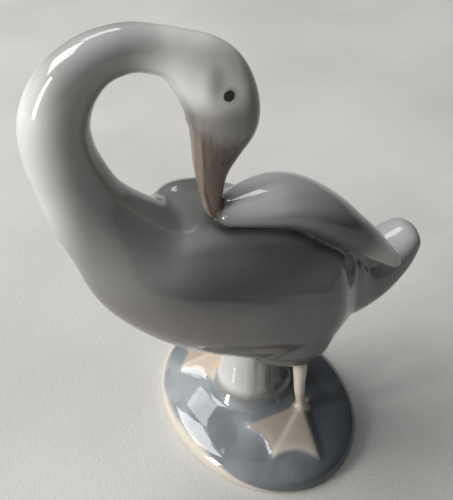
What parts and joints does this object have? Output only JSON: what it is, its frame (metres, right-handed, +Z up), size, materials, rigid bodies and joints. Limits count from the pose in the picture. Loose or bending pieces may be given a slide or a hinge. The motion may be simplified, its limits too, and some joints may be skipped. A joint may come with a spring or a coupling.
{
  "type": "swan figurine",
  "caption": "Glazed porcelain swan figurine, preening with its neck bent back in a loop, on a small domed oval plinth.",
  "frame": {"origin": "middle of the plinth's flat underside", "axes": "+Z up, the bird faces -X, its left side is -Y"},
  "size_m": [0.0973, 0.066, 0.1215],
  "materials": {
    "porcelain_glaze": "clear gloss glaze over soft grey underglaze colour"
  },
  "bodies": {
    "root": {"swan_figurine": "porcelain_glaze"}
  },
  "joints": []
}
